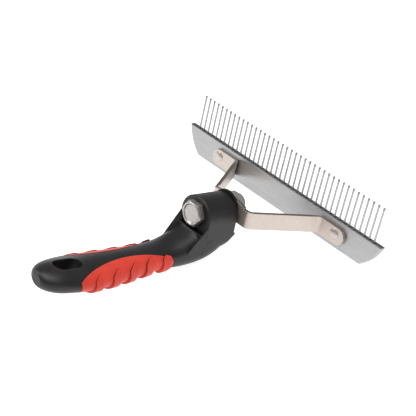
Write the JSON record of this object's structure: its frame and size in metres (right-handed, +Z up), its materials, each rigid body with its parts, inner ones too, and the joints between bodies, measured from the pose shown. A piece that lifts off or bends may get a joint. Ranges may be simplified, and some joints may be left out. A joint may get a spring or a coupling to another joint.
{
  "type": "undercoat rake",
  "caption": "Pet-grooming undercoat rake: a straight comb of round-tipped steel pins on a bent steel bracket, bolted to the boss of a handle with a ribbed soft grip.",
  "frame": {"origin": "middle of the overall box, on the surface the rake rests on", "axes": "+X along the comb, +Y from the handle towards the comb, +Z up from the surface; the rake rests on its plate's lower edge and its neck"},
  "size_m": [0.1704, 0.1858, 0.0476],
  "materials": {
    "handle_plastic": "fine matte texture",
    "grip_rubber": "satin, slightly waxy",
    "bolt_steel": "bright zinc",
    "washer_nylon": "matte",
    "ring_plastic": "matte",
    "bracket_steel": "satin",
    "plate_steel": "satin, brushed lengthways",
    "rivet_steel": "satin",
    "pin_steel": "polished"
  },
  "bodies": {
    "handle": {"handle_core": "handle_plastic", "soft_grip": "grip_rubber", "hex_bolt": "bolt_steel", "boss_sleeve": "bolt_steel", "friction_washer": "washer_nylon", "plain_washer": "bolt_steel", "lock_nut": "bolt_steel", "nut_locking_ring": "ring_plastic"},
    "head": {"bracket": "bracket_steel", "comb_plate": "plate_steel", "rivets": "rivet_steel", "pin_01": "pin_steel", "pin_02": "pin_steel", "pin_03": "pin_steel", "pin_04": "pin_steel", "pin_05": "pin_steel", "pin_06": "pin_steel", "pin_07": "pin_steel", "pin_08": "pin_steel", "pin_09": "pin_steel", "pin_10": "pin_steel", "pin_11": "pin_steel", "pin_12": "pin_steel", "pin_13": "pin_steel", "pin_14": "pin_steel", "pin_15": "pin_steel", "pin_16": "pin_steel", "pin_17": "pin_steel", "pin_18": "pin_steel", "pin_19": "pin_steel", "pin_20": "pin_steel", "pin_21": "pin_steel", "pin_22": "pin_steel", "pin_23": "pin_steel", "pin_24": "pin_steel", "pin_25": "pin_steel", "pin_26": "pin_steel", "pin_27": "pin_steel", "pin_28": "pin_steel", "pin_29": "pin_steel", "pin_30": "pin_steel", "pin_31": "pin_steel", "pin_32": "pin_steel", "pin_33": "pin_steel", "pin_34": "pin_steel", "pin_35": "pin_steel", "pin_36": "pin_steel", "pin_37": "pin_steel", "pin_38": "pin_steel", "pin_39": "pin_steel", "pin_40": "pin_steel"}
  },
  "joints": [
    {"name": "head_swivel", "type": "hinge", "parent": "handle", "child": "head", "pos_m": [0, 0.04134, 0.02227], "axis": [0, 0.9581, -0.2866], "range_deg": [-90, 90]}
  ]
}
